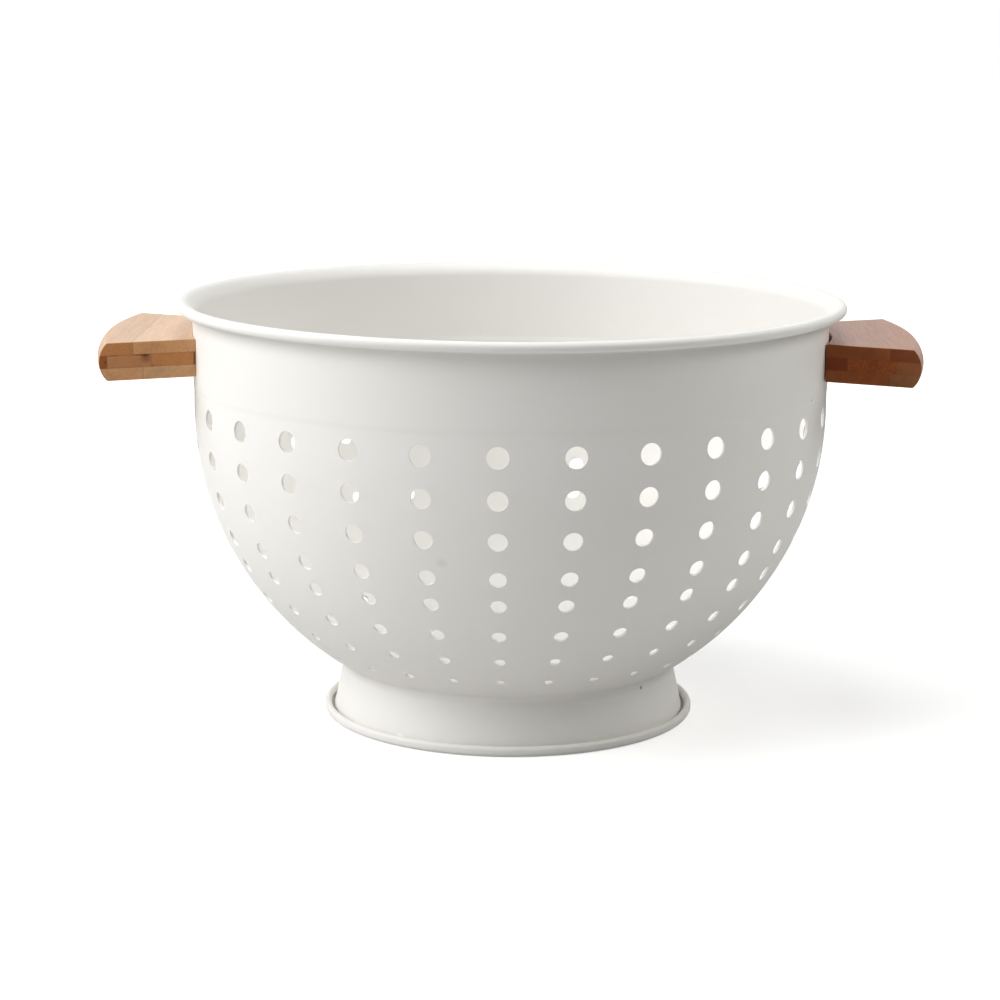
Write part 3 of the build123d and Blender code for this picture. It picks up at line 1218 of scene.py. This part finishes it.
# Knots, burns and thin slivers in single strips, and painted shade along the left handle's root,
# laid over the strip's colour
STRIP_MARKS_AND_SHADE = {
    "left_top_1": (
        # Painted shade: a darker band along the root, where the handle meets the bowl wall
        ((-0.1246, -0.033, 0.155), (0.0018, WIDE, WIDE), 0.9, 0.4, (206, 160, 126)),
    ),
    "left_middle_1": (
        # Painted shade: a dark band along the root, where the handle meets the bowl wall
        ((-0.1236, -0.033, 0.15), (0.0012, WIDE, WIDE), 0.85, 0.9, (120, 72, 52)),
        ((-0.1400, -0.0397, 0.1474), (0.0007, 0.002, 0.0006), 0.2, 0.8, (96, 50, 30)),
    ),
    "left_middle_2": (
        ((-0.1426, -0.0409, 0.1520), (0.0022, 0.006, 0.0012), 0.25, 0.95, (70, 36, 20)),
        ((-0.1424, -0.0409, 0.1506), (0.0030, 0.006, 0.0024), 0.1, 0.6, (100, 58, 34)),
        ((-0.1450, -0.042, 0.1523), (0.0045, 0.004, 0.0006), 0.3, 0.8, (96, 50, 28)),
        ((-0.1545, -0.046, 0.1523), (0.0030, 0.004, 0.0005), 0.3, 0.7, (100, 52, 30)),
    ),
    "left_middle_3": (
        ((-0.1573, -0.0472, 0.1498), (0.0007, 0.003, 0.0009), 0.2, 0.8, (84, 40, 22)),
    ),
    "left_bottom_1": (
        ((-0.1375, -0.0387, 0.1456), (0.0040, 0.010, 0.0018), 0.3, 0.35, (160, 138, 112)),
    ),
    "right_bottom_1": (
        ((0.1262, -0.034, 0.1448), (0.0026, WIDE, 0.0026), 0.5, 0.4, (150, 92, 52)),
    ),
}


def bamboo(node, joints, glue_line):
    """Oiled bamboo of one strip, in its tones, which for the right handle hold painted shade."""
    label = node.replace("_handle", "").replace("_strip", "")
    face, streak, end, dots, strength = STRIP_TONES_AND_SHADE[label]
    material, sheet, shader, spot = new_material(f"Bamboo {node.replace('_', ' ')}")
    shift = sum(map(ord, node)) / 1000
    shifted = sheet.add("ShaderNodeMapping", Vector=spot, Location=(shift, shift / 3, shift / 7))
    normal = sheet.add("ShaderNodeNewGeometry").outputs["Normal"]
    facing = sheet.add("ShaderNodeSeparateXYZ", Vector=normal).outputs["Y"]
    cut_face = sheet.span(sheet.math("ABSOLUTE", facing), 0.55, 0.8)
    grown = sheet.use(
        "Bamboo",
        Place=shifted.outputs[0],
        Facing=cut_face,
        Face_colour=tone(*face),
        Face_streak=tone(*streak),
        End_colour=tone(*end),
        End_dots=tone(*dots),
        Dots=strength,
    )
    marked = add_marks(sheet, spot, grown["Colour"], STRIP_MARKS_AND_SHADE.get(label, ()))
    glue = sheet.use("Glue line", Place=spot, Middle=joints[0], Half=joints[1], Width=glue_line)
    glue_mask = sheet.math("MULTIPLY", glue["Mask"], GLUE_STRENGTH)
    sheet.feed(shader["Base Color"], sheet.mix(glue_mask, marked, tone(*GLUE_TONE)))
    sheet.feed(shader["Roughness"], grown["Roughness"])
    sheet.feed(shader["Coat Weight"], sheet.span(cut_face, 0.0, 1.0, 0.5, 0.0))
    sheet.feed(shader["Normal"], sheet.bump(grown["Height"], 0.25, 0.0001))
    shader["Coat Roughness"].default_value = 0.3
    shader["Specular IOR Level"].default_value = 0.25
    return material


def zinc_plate(plate):
    """Bright zinc plate with a faint cloudiness."""
    material, sheet, shader, spot = new_material("Zinc plate")
    mottle = sheet.use("Mottle", Place=spot, Blotch_size=0.002, Grain_size=0.0002)
    cloudy = sheet.mix(mottle["Blotch"], scaled(plate, 0.8), scaled(plate, 1))
    sheet.feed(shader["Base Color"], cloudy)
    sheet.feed(shader["Roughness"], sheet.span(mottle["Grain"], 0.3, 0.7, 0.25, 0.4))
    shader["Metallic"].default_value = 1
    return material


# Stage

FLOOR_SIDE = 12
# Degrees from the front towards the right, degrees above the horizon, watts and tint
LAMPS = {
    "low_left": (-60, 12, 5.1, (0.95, 1.0, 1.0)),
    "high_left_side": (-90, 35, 10.2, (0.985, 0.97, 1.0)),
    "high_left": (-60, 35, 12.4, (0.985, 0.98, 0.975)),
    "high_right": (60, 35, 4.3, (0.985, 0.98, 0.99)),
    "high_right_side": (90, 35, 7.2, (0.985, 0.99, 0.93)),
    "overhead": (0, 88, 12.6, (0.96, 0.99, 1.0)),
}


def room_level(sheet, mirrored, seen):
    """One level for what the camera sees, straight or through glass, one for what is mirrored."""
    path = sheet.add("ShaderNodeLightPath").outputs
    shown = sheet.math("MAXIMUM", path["Is Camera Ray"], path["Is Transmission Ray"])
    glossy = sheet.math("MULTIPLY", path["Is Glossy Ray"], mirrored)
    return sheet.span(shown, 0.0, 1.0, glossy, seen)


def floor_material(stage):
    """Pale grey floor that the camera sees as white, with the colander's shadow on it."""
    material, sheet, shader, spot = new_material("Pale floor")
    shader["Base Color"].default_value = (*stage.floor, 1)
    shader["Roughness"].default_value = 0.9
    shader["Specular IOR Level"].default_value = 0.1
    shader["Emission Color"].default_value = (1, 1, 1, 1)
    away = sheet.vector("LENGTH", spot)
    white = sheet.span(away, stage.white_from, stage.white_at, stage.floor_lift, 1.0)
    sheet.feed(shader["Emission Strength"], room_level(sheet, stage.mirrored, white))
    return material


def add_lamp(name, stage, turn, height, power, tint):
    clear_selection()
    aim = Vector((0, 0, stage.aim_height))
    level = stage.lamp_distance * math.cos(math.radians(height))
    turn = math.radians(turn)
    rise = stage.lamp_distance * math.sin(math.radians(height))
    spot = aim + Vector((level * math.sin(turn), -level * math.cos(turn), rise))
    bpy.ops.object.light_add(type="AREA", location=spot)
    lamp = bpy.context.object
    lamp.name = name
    lamp.data.shape = "SQUARE"
    lamp.data.size = stage.lamp_side
    lamp.data.energy = power
    lamp.data.color = tint
    lamp.rotation_euler = (aim - spot).to_track_quat("-Z", "Y").to_euler()
    lamp.visible_camera = False


class OBJECT_OT_colander_stage(bpy.types.Operator):
    """Add the floor, the lamps, the surrounding light and the camera"""

    bl_idname = "object.colander_stage"
    bl_label = "Stage"

    def execute(self, context):
        stage = context.scene.colander_stage
        clear_selection()
        bpy.ops.mesh.primitive_plane_add(size=FLOOR_SIDE, location=(0, 0, foot_low.z))
        floor = named("floor")
        floor.data.materials.append(floor_material(stage))
        for name, (turn, height, power, tint) in LAMPS.items():
            add_lamp(name, stage, turn, height, power, tint)
        self.add_world(context.scene, stage)
        self.add_camera(context.scene, stage)
        context.scene.view_settings.view_transform = "Standard"
        return {"FINISHED"}

    def add_world(self, scene, stage):
        world = bpy.data.worlds.new("Soft studio")
        world.use_nodes = True
        scene.world = world
        sheet = Sheet(world.node_tree)
        shader = world.node_tree.nodes["Background"]
        shader.inputs["Color"].default_value = (1, 1, 1, 1)
        sheet.feed(shader.inputs["Strength"], room_level(sheet, 1.0, 1.0))

    def add_camera(self, scene, stage):
        turn = Matrix.Rotation(stage.azimuth, 4, "Z")
        aim = turn @ Vector((stage.aim_side, 0, stage.aim_height))
        back = turn @ Vector((0, -math.cos(stage.elevation), math.sin(stage.elevation)))
        bpy.ops.object.camera_add(location=aim + back * stage.distance)
        camera = bpy.context.object
        camera.name = "camera"
        tilt = (-back).to_track_quat("-Z", "Y").to_matrix().to_4x4()
        camera.rotation_euler = (tilt @ Matrix.Rotation(stage.roll, 4, "Z")).to_euler()
        camera.data.lens = stage.lens
        scene.camera = camera


class VIEW3D_PT_colander(bpy.types.Panel):
    bl_label = "Colander"
    bl_space_type = "VIEW_3D"
    bl_region_type = "UI"
    bl_category = "Colander"

    def draw(self, context):
        for part in PARTS:
            self.layout.operator(part.bl_idname)


PROPERTY_GROUPS = {
    "colander_bowl": ColanderBowl,
    "colander_foot": ColanderFoot,
    "colander_handles": ColanderHandles,
    "colander_hardware": ColanderHardware,
    "colander_stage": ColanderStage,
}
PARTS = (
    OBJECT_OT_colander_bowl,
    OBJECT_OT_colander_foot,
    OBJECT_OT_colander_handles,
    OBJECT_OT_colander_hardware,
    OBJECT_OT_colander_stage,
)


def register():
    for name, kind in PROPERTY_GROUPS.items():
        bpy.utils.register_class(kind)
        setattr(bpy.types.Scene, name, bpy.props.PointerProperty(type=kind))
    for kind in (*PARTS, VIEW3D_PT_colander):
        bpy.utils.register_class(kind)


def unregister():
    for kind in (VIEW3D_PT_colander, *reversed(PARTS)):
        bpy.utils.unregister_class(kind)
    for name, kind in reversed(PROPERTY_GROUPS.items()):
        delattr(bpy.types.Scene, name)
        bpy.utils.unregister_class(kind)


def main():
    register()
    bpy.ops.object.colander_bowl()
    bpy.ops.object.colander_foot()
    bpy.ops.object.colander_handles()
    bpy.ops.object.colander_hardware()
    bpy.ops.object.colander_stage()


if __name__ == "__main__":
    main()
